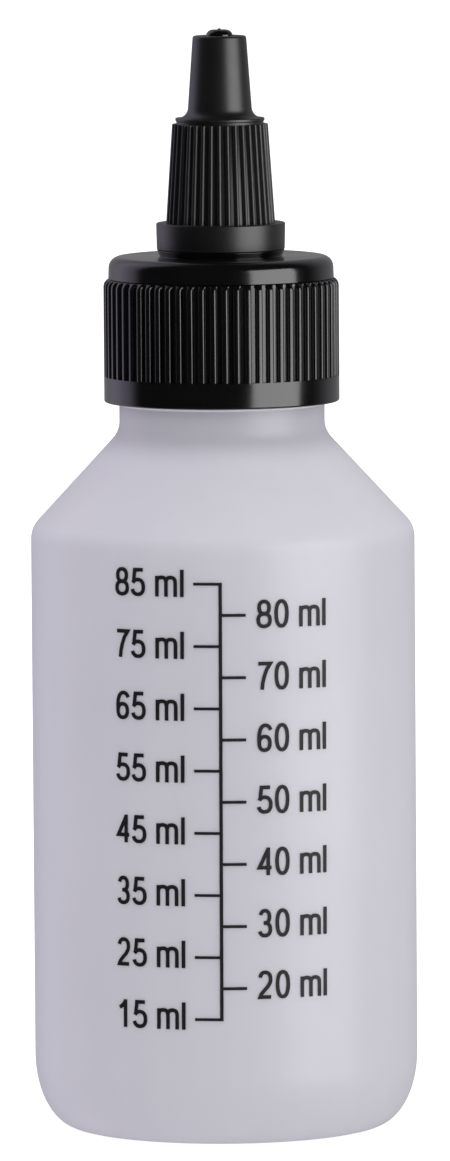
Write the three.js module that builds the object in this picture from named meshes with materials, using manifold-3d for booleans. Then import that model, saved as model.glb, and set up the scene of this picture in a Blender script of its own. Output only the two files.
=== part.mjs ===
import * as THREE from 'three';
import { mergeVertices } from 'three/addons/utils/BufferGeometryUtils.js';
import Module from 'manifold-3d';

// Applicator bottle: a graduated squeeze bottle with a screw cap and a twist-open nozzle.
// Millimetres, +Z up. The origin is the centre of the foot, on the surface it stands on,
// and the printed scale faces -Y.

const wasm = await Module();
wasm.setup();

const TURN = 2 * Math.PI;

// Bottle body
const BODY_RADIUS = 22.25;
const BODY_WALL = 1.15;
const BODY_HEIGHT = 69.76;
const SHOULDER_HEIGHT = 11.21;
const SHOULDER_FILLET = 3;
const NECK_FILLET = 3;
const CORNER_HEIGHT = 9;
const CORNER_DEPTH = 4.9;
const FOOT_WIDTH = 2;
const PUSH_UP = 1.8;

// Bottle neck, from the top of the shoulder cone to the rim
const NECK_WALL = 2.1;
const NECK_HEIGHT = 17.77;
const NECK_BAND_HEIGHT = 4.9;
const FINISH_RADIUS = 10.8;
const FINISH_WALL = 1.9;

// Screw thread of the neck and the cap
const THREAD_PITCH = 3.175;
const THREAD_TURNS = 1.5;
const NECK_RIDGE_HEIGHT = 1.1;
const NECK_RIDGE_ROOT = 2.3;
const NECK_RIDGE_CREST = 1;
const NECK_RIDGE_BELOW_RIM = 8;
const CAP_RIDGE_HEIGHT = 1.1;
const CAP_RIDGE_ROOT = 1.3;
const CAP_RIDGE_CREST = 0.6;
const THREAD_CLEARANCE = 0.4;
const RIDGE_FADE = 0.5;

// Screw cap
const CAP_WALL = 0.765;
const BAND_HEIGHT = 3.14;
const CAP_HEIGHT = 16.86;
const CAP_RIB_COUNT = 62;
const CAP_RIB_DEPTH = 0.57;
const CAP_RIB_HEIGHT = 11.1;
const CAP_RIB_SHARE = 0.5;
const CAP_RIB_NOSE = 0.8;
const CAP_RIB_INSET = 0.04;
const CAP_DRAFT = 0.08;
const DECK_THICKNESS = 1.5;
const DECK_FILLET = 1.5;
const BOSS_RADIUS = 7.3;
const BOSS_HEIGHT = 0.75;

// Sealing washer
const LINER_THICKNESS = 1;
const LINER_CLEARANCE = 0.4;
const LINER_HOLE_RADIUS = 3;

// Spout tube on the cap's deck, its stop bead, and the sealing pin on its webs
const SPOUT_RADIUS = 3.4;
const SPOUT_BORE_RADIUS = 2.4;
const SPOUT_HEIGHT = 12.2;
const BEAD_DEPTH = 0.55;
const BEAD_CLEARANCE = 0.35;
const BEAD_HEIGHT = 1;
const PIN_RADIUS = 1.574;
const PIN_STEM_RADIUS = 1.3;
const PIN_HEAD_LENGTH = 3;
const PIN_REACH = 0.7;
const PIN_EDGE = 0.25;
const GATE_RADIUS = 0.17;
const GATE_HEIGHT = 0.14;
const WEB_COUNT = 3;
const WEB_THICKNESS = 0.9;
const WEB_HEIGHT = 2.2;

// Twist nozzle
const GRIP_HEIGHT = 14.88;
const COLLAR_RADIUS = 7.41;
const COLLAR_TOP_RADIUS = 7.48;
const COLLAR_HEIGHT = 3.1;
const COLLAR_EDGE = 0.12;
const GRIP_RIB_COUNT = 36;
const GRIP_RIB_DEPTH = 0.45;
const GRIP_RIB_SHARE = 0.5;
const GRIP_RIB_TOP_GAP = 0.35;
const GRIP_BOTTOM_RADIUS = 6.31;
const GRIP_TOP_RADIUS = 5.55;
const LEDGE_RADIUS = 5.165;
const LEDGE_THICKNESS = 0.35;
const TIP_LENGTH = 9.5;
const TIP_FOOT_RADIUS = 3.78;
const TIP_TOP_RADIUS = 3.1;
const TIP_FILLET = 0.9;
const TIP_EDGE = 0.12;
const ORIFICE_CLEARANCE = 0.33;
const ORIFICE_LENGTH = 1.2;
const TIP_BORE_RADIUS = 2.3;
const BORE_ROOF_DROP = 1.4;
const LIP_CLEARANCE = 0.3;
const LIP_HEIGHT = 1.2;
const NOZZLE_TRAVEL = 3;
const STOP_CLEARANCE = 0.35;

// Printed scale: one line up the front with a tick every 5 ml, left and right by turns
const SCALE_FIRST_Z = 15.02;
const SCALE_STEP = 3.58;
const SCALE_TICKS = 15;
const SCALE_LEFT_TICK = 3.07;
const SCALE_RIGHT_TICK = 2.9;
const SCALE_LINE_WIDTH = 0.31;
const SCALE_TICK_WIDTH = 0.245;
const INK_THICKNESS = 0.08;
const INK_CLEARANCE = 0.04;
const LINE_OVER_TICK = 0.01;

// Fineness of the round forms
const BODY_SEGMENTS = 48;
const RIDGE_STEPS_PER_TURN = 32;
const ARC_STEPS = 5;
const CORNER_STEPS = 7;
const TICK_SEGMENTS = 4;
const EMBED = 0.3;
const RIB_FLARE = 1.15;

// Heights that follow from the sizes above
const NECK_Z = BODY_HEIGHT + SHOULDER_HEIGHT;
const RIM_Z = NECK_Z + NECK_HEIGHT;
const DECK_UNDERSIDE_Z = RIM_Z + LINER_THICKNESS;
const DECK_Z = DECK_UNDERSIDE_Z + DECK_THICKNESS;
const CAP_BOTTOM_Z = DECK_Z - CAP_HEIGHT;
const CAP_RIB_Z = CAP_BOTTOM_Z + BAND_HEIGHT;
const NOZZLE_Z = DECK_Z + BOSS_HEIGHT;
const COLLAR_TOP_Z = NOZZLE_Z + COLLAR_HEIGHT;
const LEDGE_Z = NOZZLE_Z + GRIP_HEIGHT;
const TIP_Z = LEDGE_Z + LEDGE_THICKNESS + TIP_LENGTH;

// Radii that follow from the sizes above
const NECK_RADIUS = FINISH_RADIUS + NECK_RIDGE_HEIGHT;
const MOUTH_RADIUS = FINISH_RADIUS - FINISH_WALL;
const SKIRT_RADIUS = NECK_RADIUS + THREAD_CLEARANCE;
const CAP_ROOT_RADIUS = SKIRT_RADIUS + CAP_WALL;
const BAND_RADIUS = CAP_ROOT_RADIUS + CAP_RIB_DEPTH;
const GRIP_BORE_RADIUS = SPOUT_RADIUS + BEAD_DEPTH + BEAD_CLEARANCE;

const point = (radius, z) => new THREE.Vector2(radius, z);

// Points of a circular arc that rounds the corner at b between a and c
function roundedCorner(a, b, c, radius) {
  const toA = a.clone().sub(b).normalize();
  const toC = c.clone().sub(b).normalize();
  const halfAngle = Math.acos(toA.dot(toC)) / 2;
  const reach = radius / Math.tan(halfAngle);
  const centre = b.clone().add(toA.clone().add(toC).normalize().multiplyScalar(radius / Math.sin(halfAngle)));
  const start = b.clone().add(toA.multiplyScalar(reach)).sub(centre);
  const end = b.clone().add(toC.multiplyScalar(reach)).sub(centre);
  const sweep = Math.atan2(start.cross(end), start.dot(end));
  return Array.from({ length: ARC_STEPS + 1 }, (_, i) =>
    start.clone().rotateAround(point(0, 0), (sweep * i) / ARC_STEPS).add(centre));
}

// Points of a quarter ellipse from the foot at lowZ out and up to the wall
function baseCorner(wallRadius, depth, height, lowZ) {
  return Array.from({ length: CORNER_STEPS + 1 }, (_, i) => {
    const angle = (Math.PI / 2) * (i / CORNER_STEPS);
    return point(wallRadius - depth + depth * Math.sin(angle), lowZ + height * (1 - Math.cos(angle)));
  });
}

// Points of the shallow dome under the foot, from its rim to the axis
function pushUpDome(rimRadius, lowZ) {
  return Array.from({ length: ARC_STEPS }, (_, i) => {
    const share = 1 - i / (ARC_STEPS - 1);
    return point(rimRadius * share, lowZ + PUSH_UP * (1 - share * share));
  });
}

// Triangles that face outwards, with nothing left but positions
function outward(geometry) {
  geometry.deleteAttribute('normal');
  geometry.deleteAttribute('uv');
  const merged = mergeVertices(geometry, 1e-5);
  const { array } = merged.index;
  const at = (k) => new THREE.Vector3().fromBufferAttribute(merged.attributes.position, array[k]);
  const kept = [];
  let volume = 0;
  for (let k = 0; k < array.length; k += 3) {
    const [a, b, c] = [array[k], array[k + 1], array[k + 2]];
    if (a === b || b === c || c === a) continue;
    kept.push(a, b, c);
    volume += at(k).dot(at(k + 1).cross(at(k + 2)));
  }
  merged.setIndex(volume < 0 ? kept.reverse() : kept);
  return merged;
}

function solid(geometry) {
  const closed = outward(geometry);
  return new wasm.Manifold(new wasm.Mesh({
    numProp: 3,
    vertProperties: closed.attributes.position.array,
    triVerts: new Uint32Array(closed.index.array),
  }));
}

function namedMesh(name, shape, finish) {
  const { vertProperties, triVerts } = shape.getMesh();
  const geometry = new THREE.BufferGeometry();
  geometry.setAttribute('position', new THREE.BufferAttribute(vertProperties, 3));
  geometry.setIndex(new THREE.BufferAttribute(triVerts, 1));
  geometry.computeVertexNormals();
  const mesh = new THREE.Mesh(geometry, new THREE.MeshStandardMaterial(finish));
  mesh.name = name;
  return mesh;
}

// A profile turned about the Z axis
function turned(profile, segments) {
  return solid(new THREE.LatheGeometry(profile, segments).rotateX(Math.PI / 2));
}

function ring(innerRadius, outerRadius, lowZ, highZ, segments) {
  return turned([
    point(innerRadius, lowZ),
    point(outerRadius, lowZ),
    point(outerRadius, highZ),
    point(innerRadius, highZ),
    point(innerRadius, lowZ),
  ], segments);
}

// A toothed outline pulled up from lowZ to highZ, whose crests lean from one radius to the other
function ribs(count, share, rootRadius, bottomRadius, topRadius, lowZ, highZ) {
  const step = TURN / count;
  const crest = (step * share) / 2;
  const foot = crest * RIB_FLARE;
  const around = (radius, angle) => new THREE.Vector2(radius, 0).rotateAround(point(0, 0), angle);
  const outline = [];
  for (let i = 0; i < count; i += 1) {
    const middle = i * step;
    outline.push(
      around(rootRadius, middle - foot),
      around(bottomRadius, middle - crest),
      around(bottomRadius, middle + crest),
      around(rootRadius, middle + foot),
    );
  }
  const toothed = new THREE.Shape(outline);
  const geometry = new THREE.ExtrudeGeometry(toothed, { depth: highZ - lowZ, bevelEnabled: false });
  const { position } = geometry.attributes;
  const shrink = topRadius / bottomRadius;
  for (let i = 0; i < position.count; i += 1) {
    const scale = 1 + (shrink - 1) * (position.getZ(i) / (highZ - lowZ));
    position.setXYZ(i, position.getX(i) * scale, position.getY(i) * scale, position.getZ(i) + lowZ);
  }
  return solid(geometry);
}

// A ridge of trapezoid section wound up a cylinder: side is 1 outside it and -1 inside it
function helicalRidge(wallRadius, side, height, rootWidth, crestWidth, startZ) {
  const section = new THREE.Shape([
    point(-EMBED, -rootWidth / 2),
    point(0, -rootWidth / 2),
    point(height, -crestWidth / 2),
    point(height, crestWidth / 2),
    point(0, rootWidth / 2),
    point(-EMBED, rootWidth / 2),
  ]);
  const sweep = THREAD_TURNS * TURN;
  const steps = Math.round(THREAD_TURNS * RIDGE_STEPS_PER_TURN);
  const geometry = new THREE.ExtrudeGeometry(section, { depth: sweep, steps, bevelEnabled: false });
  const { position } = geometry.attributes;
  for (let i = 0; i < position.count; i += 1) {
    const angle = position.getZ(i);
    const fade = Math.min(1, 0.1 + Math.min(angle, sweep - angle) / RIDGE_FADE);
    const out = position.getX(i) > 0 ? position.getX(i) * fade : position.getX(i);
    const radius = wallRadius + side * out;
    const z = startZ + (THREAD_PITCH * angle) / TURN + position.getY(i);
    position.setXYZ(i, radius * Math.cos(angle), radius * Math.sin(angle), z);
  }
  return solid(geometry);
}

// Bottle

function bottle() {
  const slope = point(NECK_RADIUS - BODY_RADIUS, SHOULDER_HEIGHT).normalize();
  const wallLean = BODY_WALL * (1 - Math.abs(slope.x)) / slope.y;
  const shoulder = point(BODY_RADIUS, BODY_HEIGHT);
  const neck = point(NECK_RADIUS, NECK_Z);
  const innerRadius = BODY_RADIUS - BODY_WALL;
  const neckBore = NECK_RADIUS - NECK_WALL;
  const innerShoulder = point(innerRadius, BODY_HEIGHT - wallLean);
  const innerNeckZ = innerShoulder.y + ((innerRadius - neckBore) * slope.y) / -slope.x;
  const innerNeck = point(neckBore, innerNeckZ);
  const footInner = BODY_RADIUS - CORNER_DEPTH - FOOT_WIDTH;
  const bandTop = NECK_Z + NECK_BAND_HEIGHT;
  const outer = [
    ...pushUpDome(footInner, 0).reverse(),
    ...baseCorner(BODY_RADIUS, CORNER_DEPTH, CORNER_HEIGHT, 0),
    ...roundedCorner(point(BODY_RADIUS, CORNER_HEIGHT), shoulder, neck, SHOULDER_FILLET),
    ...roundedCorner(shoulder, neck, point(NECK_RADIUS, bandTop), NECK_FILLET),
    point(NECK_RADIUS, bandTop - EMBED),
    point(FINISH_RADIUS, bandTop + EMBED),
    point(FINISH_RADIUS, RIM_Z - EMBED),
    point(FINISH_RADIUS - EMBED, RIM_Z),
  ];
  const inner = [
    point(MOUTH_RADIUS, RIM_Z),
    point(MOUTH_RADIUS, bandTop),
    point(neckBore, NECK_Z),
    ...roundedCorner(point(neckBore, NECK_Z), innerNeck, innerShoulder, NECK_FILLET),
    ...roundedCorner(innerNeck, innerShoulder, point(innerRadius, CORNER_HEIGHT), SHOULDER_FILLET - BODY_WALL),
    ...baseCorner(innerRadius, CORNER_DEPTH - BODY_WALL / 2, CORNER_HEIGHT - BODY_WALL, BODY_WALL).reverse(),
    ...pushUpDome(footInner, BODY_WALL),
  ];
  const thread = helicalRidge(FINISH_RADIUS, 1, NECK_RIDGE_HEIGHT, NECK_RIDGE_ROOT,
    NECK_RIDGE_CREST, RIM_Z - NECK_RIDGE_BELOW_RIM);
  return turned([...outer, ...inner], BODY_SEGMENTS).add(thread);
}

// Sealing washer, pressed between the bottle's rim and the cap's deck

function capLiner() {
  return ring(LINER_HOLE_RADIUS, SKIRT_RADIUS - LINER_CLEARANCE, RIM_Z, DECK_UNDERSIDE_Z, BODY_SEGMENTS);
}

// Screw cap, moulded in one with its spout tube and sealing pin

function capShell() {
  const spoutTop = DECK_Z + SPOUT_HEIGHT;
  const upperRadius = CAP_ROOT_RADIUS - CAP_DRAFT;
  const beadZ = NOZZLE_Z + LIP_HEIGHT + NOZZLE_TRAVEL + STOP_CLEARANCE;
  const deckEdge = point(upperRadius, DECK_Z);
  return turned([
    point(SKIRT_RADIUS, CAP_BOTTOM_Z),
    point(BAND_RADIUS - EMBED / 2, CAP_BOTTOM_Z),
    point(BAND_RADIUS, CAP_BOTTOM_Z + EMBED / 2),
    point(BAND_RADIUS, CAP_RIB_Z),
    point(CAP_ROOT_RADIUS, CAP_RIB_Z),
    point(CAP_ROOT_RADIUS, CAP_RIB_Z + CAP_RIB_HEIGHT),
    ...roundedCorner(point(CAP_ROOT_RADIUS, CAP_RIB_Z), deckEdge, point(BOSS_RADIUS, DECK_Z), DECK_FILLET),
    point(BOSS_RADIUS, DECK_Z),
    point(BOSS_RADIUS, NOZZLE_Z),
    point(SPOUT_RADIUS, NOZZLE_Z),
    point(SPOUT_RADIUS, beadZ),
    point(SPOUT_RADIUS + BEAD_DEPTH, beadZ),
    point(SPOUT_RADIUS + BEAD_DEPTH, beadZ + BEAD_HEIGHT / 2),
    point(SPOUT_RADIUS, beadZ + BEAD_HEIGHT),
    point(SPOUT_RADIUS, spoutTop),
    point(SPOUT_BORE_RADIUS, spoutTop),
    point(SPOUT_BORE_RADIUS, DECK_UNDERSIDE_Z),
    point(SKIRT_RADIUS, DECK_UNDERSIDE_Z),
    point(SKIRT_RADIUS, CAP_BOTTOM_Z),
  ], CAP_RIB_COUNT);
}

function capRibs() {
  const crest = BAND_RADIUS - CAP_RIB_INSET;
  const low = CAP_RIB_Z - EMBED;
  const high = CAP_RIB_Z + CAP_RIB_HEIGHT;
  const teeth = ribs(CAP_RIB_COUNT, CAP_RIB_SHARE, SKIRT_RADIUS + EMBED, crest, crest, low, high);
  const envelope = turned([
    point(SKIRT_RADIUS + EMBED / 2, low),
    point(BAND_RADIUS, low),
    ...roundedCorner(point(BAND_RADIUS, low), point(BAND_RADIUS, high), point(0, high), CAP_RIB_NOSE),
    point(SKIRT_RADIUS + EMBED / 2, high),
    point(SKIRT_RADIUS + EMBED / 2, low),
  ], CAP_RIB_COUNT * 2);
  return teeth.intersect(envelope);
}

function sealingPin() {
  const top = TIP_Z + PIN_REACH;
  const webTop = DECK_Z + SPOUT_HEIGHT;
  const headZ = top - PIN_HEAD_LENGTH;
  let pin = turned([
    point(0, webTop - WEB_HEIGHT),
    point(PIN_STEM_RADIUS, webTop - WEB_HEIGHT),
    point(PIN_STEM_RADIUS, headZ - EMBED),
    point(PIN_RADIUS, headZ),
    point(PIN_RADIUS, top - PIN_EDGE),
    point(PIN_RADIUS - PIN_EDGE, top),
    point(GATE_RADIUS, top),
    point(GATE_RADIUS, top + GATE_HEIGHT),
    point(0, top + GATE_HEIGHT),
  ], BODY_SEGMENTS / 2);
  const webLength = (SPOUT_BORE_RADIUS + SPOUT_RADIUS) / 2;
  for (let i = 0; i < WEB_COUNT; i += 1) {
    const web = new THREE.BoxGeometry(webLength, WEB_THICKNESS, WEB_HEIGHT - EMBED);
    web.translate(webLength / 2, 0, webTop - WEB_HEIGHT / 2);
    pin = pin.add(solid(web.rotateZ((TURN * i) / WEB_COUNT)));
  }
  return pin;
}

function screwCap() {
  const thread = helicalRidge(SKIRT_RADIUS, -1, CAP_RIDGE_HEIGHT, CAP_RIDGE_ROOT,
    CAP_RIDGE_CREST, RIM_Z - NECK_RIDGE_BELOW_RIM - THREAD_PITCH / 2);
  return capShell().add(capRibs()).add(thread).add(sealingPin());
}

// Twist nozzle: collar, ribbed grip and smooth tip, open all the way through

function nozzleShell() {
  const lipRadius = SPOUT_RADIUS + LIP_CLEARANCE;
  const rootBottom = GRIP_BOTTOM_RADIUS - GRIP_RIB_DEPTH;
  const ledgeTop = LEDGE_Z + LEDGE_THICKNESS;
  const orificeRadius = PIN_RADIUS + ORIFICE_CLEARANCE;
  const roofZ = LEDGE_Z - BORE_ROOF_DROP;
  return turned([
    point(lipRadius, NOZZLE_Z),
    point(COLLAR_RADIUS - COLLAR_EDGE, NOZZLE_Z),
    point(COLLAR_RADIUS, NOZZLE_Z + COLLAR_EDGE),
    point(COLLAR_TOP_RADIUS, COLLAR_TOP_Z - COLLAR_EDGE),
    point(COLLAR_TOP_RADIUS - COLLAR_EDGE, COLLAR_TOP_Z),
    point(rootBottom, COLLAR_TOP_Z),
    point(LEDGE_RADIUS, LEDGE_Z),
    point(LEDGE_RADIUS, ledgeTop),
    ...roundedCorner(point(LEDGE_RADIUS, ledgeTop), point(TIP_FOOT_RADIUS, ledgeTop),
      point(TIP_TOP_RADIUS, TIP_Z), TIP_FILLET),
    point(TIP_TOP_RADIUS, TIP_Z - TIP_EDGE),
    point(TIP_TOP_RADIUS - TIP_EDGE, TIP_Z),
    point(orificeRadius, TIP_Z),
    point(orificeRadius, TIP_Z - ORIFICE_LENGTH),
    point(TIP_BORE_RADIUS, TIP_Z - ORIFICE_LENGTH - EMBED),
    point(TIP_BORE_RADIUS, LEDGE_Z),
    point(GRIP_BORE_RADIUS, roofZ),
    point(GRIP_BORE_RADIUS, NOZZLE_Z + LIP_HEIGHT),
    point(lipRadius, NOZZLE_Z + LIP_HEIGHT),
    point(lipRadius, NOZZLE_Z),
  ], GRIP_RIB_COUNT);
}

function twistNozzle() {
  const lowZ = COLLAR_TOP_Z - EMBED;
  const highZ = LEDGE_Z - GRIP_RIB_TOP_GAP;
  const teeth = ribs(GRIP_RIB_COUNT, GRIP_RIB_SHARE, GRIP_BOTTOM_RADIUS - GRIP_RIB_DEPTH - EMBED,
    GRIP_BOTTOM_RADIUS, GRIP_TOP_RADIUS, lowZ, highZ);
  const clearBore = turned([
    point(0, NOZZLE_Z),
    point(GRIP_BORE_RADIUS + EMBED, NOZZLE_Z),
    point(GRIP_BORE_RADIUS + EMBED, LEDGE_Z),
    point(0, LEDGE_Z),
  ], GRIP_RIB_COUNT);
  return nozzleShell().add(teeth.subtract(clearBore));
}

// Printed scale

function inkBar(fromArc, toArc, lowZ, highZ, thickness, segments) {
  const width = toArc - fromArc;
  const radius = BODY_RADIUS + INK_CLEARANCE + INK_THICKNESS / 2;
  const bar = new THREE.BoxGeometry(width, thickness, highZ - lowZ, segments, 1, 1);
  bar.translate(fromArc + width / 2, 0, (lowZ + highZ) / 2);
  const { position } = bar.attributes;
  for (let i = 0; i < position.count; i += 1) {
    const angle = position.getX(i) / BODY_RADIUS;
    const reach = radius + position.getY(i);
    position.setXY(i, reach * Math.sin(angle), -reach * Math.cos(angle));
  }
  return solid(bar);
}

function scaleLadder() {
  const half = SCALE_TICK_WIDTH / 2;
  const lastZ = SCALE_FIRST_Z + (SCALE_TICKS - 1) * SCALE_STEP;
  const lineThickness = INK_THICKNESS + LINE_OVER_TICK;
  let ladder = inkBar(-SCALE_LINE_WIDTH / 2, SCALE_LINE_WIDTH / 2, SCALE_FIRST_Z, lastZ, lineThickness, 1);
  for (let i = 0; i < SCALE_TICKS; i += 1) {
    const z = SCALE_FIRST_Z + i * SCALE_STEP;
    const [from, to] = i % 2 === 0 ? [-SCALE_LEFT_TICK, half] : [-half, SCALE_RIGHT_TICK];
    ladder = ladder.add(inkBar(from, to, z - half, z + half, INK_THICKNESS, TICK_SEGMENTS));
  }
  return ladder;
}

const milkyPlastic = { color: 0xd3d1da, roughness: 0.45, metalness: 0 };
const glossBlack = { color: 0x121113, roughness: 0.28, metalness: 0 };
const satinBlack = { color: 0x151416, roughness: 0.42, metalness: 0 };
const whiteFoam = { color: 0xf1f0ec, roughness: 0.85, metalness: 0 };
const blackInk = { color: 0x1b181c, roughness: 0.6, metalness: 0 };

const applicatorBottle = new THREE.Group();
applicatorBottle.add(
  namedMesh('bottle', bottle(), milkyPlastic),
  namedMesh('cap_liner', capLiner(), whiteFoam),
  namedMesh('screw_cap', screwCap(), glossBlack),
  namedMesh('twist_nozzle', twistNozzle(), satinBlack),
  namedMesh('scale_ladder', scaleLadder(), blackInk),
);

export default applicatorBottle;
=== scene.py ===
import math

import bmesh
import bpy
from bpy.props import FloatProperty, FloatVectorProperty, IntProperty, PointerProperty
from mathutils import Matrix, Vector


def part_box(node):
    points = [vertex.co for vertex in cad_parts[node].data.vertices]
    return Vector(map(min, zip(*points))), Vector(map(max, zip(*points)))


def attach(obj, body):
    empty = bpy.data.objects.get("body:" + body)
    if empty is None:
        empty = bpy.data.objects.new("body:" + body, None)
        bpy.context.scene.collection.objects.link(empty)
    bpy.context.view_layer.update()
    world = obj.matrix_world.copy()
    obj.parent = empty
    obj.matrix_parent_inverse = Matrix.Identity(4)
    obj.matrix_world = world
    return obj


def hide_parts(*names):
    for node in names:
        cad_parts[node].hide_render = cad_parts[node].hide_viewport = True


bl_info = {
    "name": "Applicator Bottle Look",
    "version": (1, 0, 0),
    "blender": (4, 5, 0),
    "location": "3D View > Sidebar > Bottle",
    "description": "Models and finishes a graduated squeeze bottle with a twist-open nozzle",
    "category": "Object",
}

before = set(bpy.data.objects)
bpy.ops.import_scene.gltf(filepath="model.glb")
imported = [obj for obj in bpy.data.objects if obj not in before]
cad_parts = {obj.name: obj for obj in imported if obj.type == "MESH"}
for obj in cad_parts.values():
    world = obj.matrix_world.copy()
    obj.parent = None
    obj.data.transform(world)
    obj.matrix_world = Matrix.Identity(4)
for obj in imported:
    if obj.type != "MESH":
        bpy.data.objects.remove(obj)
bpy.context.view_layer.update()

MM = 0.001
TURN = 2 * math.pi
TINY = 1e-6
MERGE_DISTANCE = 2e-6
SMOOTH_ANGLE = math.radians(42)

# Vertices around a turned piece, along an arc of its profile, round a turn of a thread and along the print
BOTTLE_STEPS = 160
PIN_STEPS = 48
ARC_STEPS = 6
THREAD_STEPS = 64
LINE_STEPS = 48
TICK_STEPS = 4

# How far a thread's ridge reaches into its wall, and the height of the step at the foot of a rib's valley
RIDGE_SINK = 0.2 * MM
VALLEY_LIP = 0.05 * MM

# The depth of each column of vertices across one rib, as a share of the valley's depth
CAP_RIB_SHAPE = (0, 0, 0.035, 0.245, 1, 1, 1, 1, 1, 0.245, 0.035, 0)
GRIP_RIB_SHAPE = (0, 0.04, 0.14, 0.40, 1, 1, 1, 1, 1, 0.40, 0.14, 0.04)

BOTTLE_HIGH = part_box("bottle")[1]
LINER_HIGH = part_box("cap_liner")[1]
CAP_LOW, CAP_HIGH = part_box("screw_cap")
NOZZLE_LOW, NOZZLE_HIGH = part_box("twist_nozzle")
SCALE_LOW, SCALE_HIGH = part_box("scale_ladder")
SCALE_EDGE = 0.122 * MM


def length(name, description, millimetres):
    return FloatProperty(name=name, description=description, default=millimetres * MM,
                         min=0.0, unit="LENGTH", subtype="DISTANCE", precision=5)


def tilt(name, description, degrees):
    return FloatProperty(name=name, description=description, default=math.radians(degrees),
                         unit="ROTATION", subtype="ANGLE")


def number(name, description, default):
    return IntProperty(name=name, description=description, default=default, min=1)


def shade(name, description, default):
    return FloatVectorProperty(name=name, description=description, default=default,
                               size=3, min=0.0, max=1.0, subtype="COLOR")


def amount(name, description, default):
    return FloatProperty(name=name, description=description, default=default, min=0.0)


class BottleSizes(bpy.types.PropertyGroup):
    """Sizes of the blow-moulded bottle"""
    body_radius: length("Body Radius", "Outer radius of the body", BOTTLE_HIGH.x / MM)
    wall: length("Wall", "Thickness of the body's wall", 1.15)
    body_height: length("Body Height", "Height where the wall would meet the shoulder cone", 69.76)
    shoulder_height: length("Shoulder Height", "Height of the shoulder cone", 11.21)
    fillet: length("Fillet", "Radius where the cone meets the wall and the neck", 3)
    corner_height: length("Corner Height", "Height of the rounded base corner", 8.45)
    corner_depth: length("Corner Depth", "How far the base corner draws in", 4.9)
    foot_width: length("Foot Width", "Width of the flat ring under the foot", 2)
    push_up: length("Push-up", "Height of the dome under the foot", 1.8)
    neck_radius: length("Neck Radius", "Outer radius of the plain neck", 11.9)
    neck_wall: length("Neck Wall", "Thickness of the plain neck", 2.1)
    band_height: length("Band Height", "Height of the plain neck below the thread", 4.9)
    finish_radius: length("Finish Radius", "Outer radius of the neck under its thread", 10.8)
    finish_wall: length("Finish Wall", "Thickness of the neck under its thread", 1.9)
    bead_depth: length("Bead Depth", "How far the bead under the cap stands out", 0.14)
    bead_low: length("Bead Low", "Height of the bead's lower edge", 84.02)
    rim_edge: length("Rim Edge", "Radius of the rim's edges", 0.4)


class ThreadSizes(bpy.types.PropertyGroup):
    """Sizes of the screw thread on the neck and in the cap"""
    pitch: length("Pitch", "Rise of the thread in one turn", 3.175)
    turns: amount("Turns", "Length of the thread in turns", 1.5)
    below_rim: length("Below Rim", "Start of the neck's thread below the rim", 8)
    neck_depth: length("Neck Ridge Depth", "How far the neck's ridge stands out", 1.1)
    neck_root: length("Neck Ridge Root", "Width of the neck's ridge at its root", 2.3)
    neck_crest: length("Neck Ridge Crest", "Width of the neck's ridge at its crest", 1)
    cap_depth: length("Cap Ridge Depth", "How far the cap's ridge stands in", 1.1)
    cap_root: length("Cap Ridge Root", "Width of the cap's ridge at its root", 1.3)
    cap_crest: length("Cap Ridge Crest", "Width of the cap's ridge at its crest", 0.6)


class CapSizes(bpy.types.PropertyGroup):
    """Sizes of the screw cap"""
    band_radius: length("Band Radius", "Outer radius of the plain band", 13.635)
    band_height: length("Band Height", "Height of the plain band", 3.0)
    skirt_radius: length("Skirt Radius", "Inner radius of the skirt", 12.3)
    rib_count: number("Rib Count", "Ribs around the skirt", 62)
    rib_depth: length("Rib Depth", "Depth of the valleys between the ribs", 0.57)
    rib_height: length("Rib Height", "Length of the ribs", 11.35)
    rib_nose: length("Rib Nose", "Radius of the ribs' upper ends", 0.95)
    draft: length("Draft", "How much the smooth wall leans in", 0.08)
    deck_fillet: length("Deck Fillet", "Radius of the deck's edge", 1.3)
    boss_height: length("Boss Height", "Height of the low boss under the nozzle", 0.75)
    boss_radius: length("Boss Radius", "Radius of the boss where it meets the nozzle", 7.38)
    boss_foot_radius: length("Boss Foot Radius", "Radius of the boss where it meets the deck", 7.08)
    edge: length("Edge", "Rounding of the small edges", 0.12)


class SpoutSizes(bpy.types.PropertyGroup):
    """Sizes of the hidden spout tube and its sealing pin"""
    radius: length("Radius", "Outer radius of the spout tube", 3.4)
    bore: length("Bore", "Inner radius of the spout tube", 2.4)
    height: length("Height", "Height of the spout tube above the deck", 12.2)
    bead_depth: length("Bead Depth", "How far the stop bead stands out", 0.55)
    bead_rise: length("Bead Rise", "Height of the stop bead above the boss", 4.55)
    bead_height: length("Bead Height", "Height of the stop bead", 1)
    pin_radius: length("Pin Radius", "Radius of the sealing pin's head", 1.574)
    stem_radius: length("Stem Radius", "Radius of the sealing pin's stem", 1.3)
    pin_head: length("Pin Head", "Length of the sealing pin's head", 3)
    pin_edge: length("Pin Edge", "Rounding of the pin's end", 0.8)
    pin_soft: length("Pin Rounding", "Rounding of the pin's other edges", 0.2)
    pin_cone: length("Pin Cone", "Height of the cone from the stem to the head", 0.3)
    gate_edge: length("Gate Edge", "Rounding of the moulding mark", 0.05)
    gate_radius: length("Gate Radius", "Radius of the moulding mark on the pin", 0.17)
    gate_height: length("Gate Height", "Height of the moulding mark on the pin", 0.14)
    web_height: length("Web Height", "Height of the webs that hold the pin", 2.2)
    web_inset: length("Web Inset", "How much shorter the webs are than the pin's foot", 0.3)
    web_edge: length("Web Edge", "Rounding of the webs' edges", 0.1)
    web_width: length("Web Width", "Thickness of the webs that hold the pin", 0.9)
    web_count: number("Web Count", "Webs that hold the pin", 3)


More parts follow.
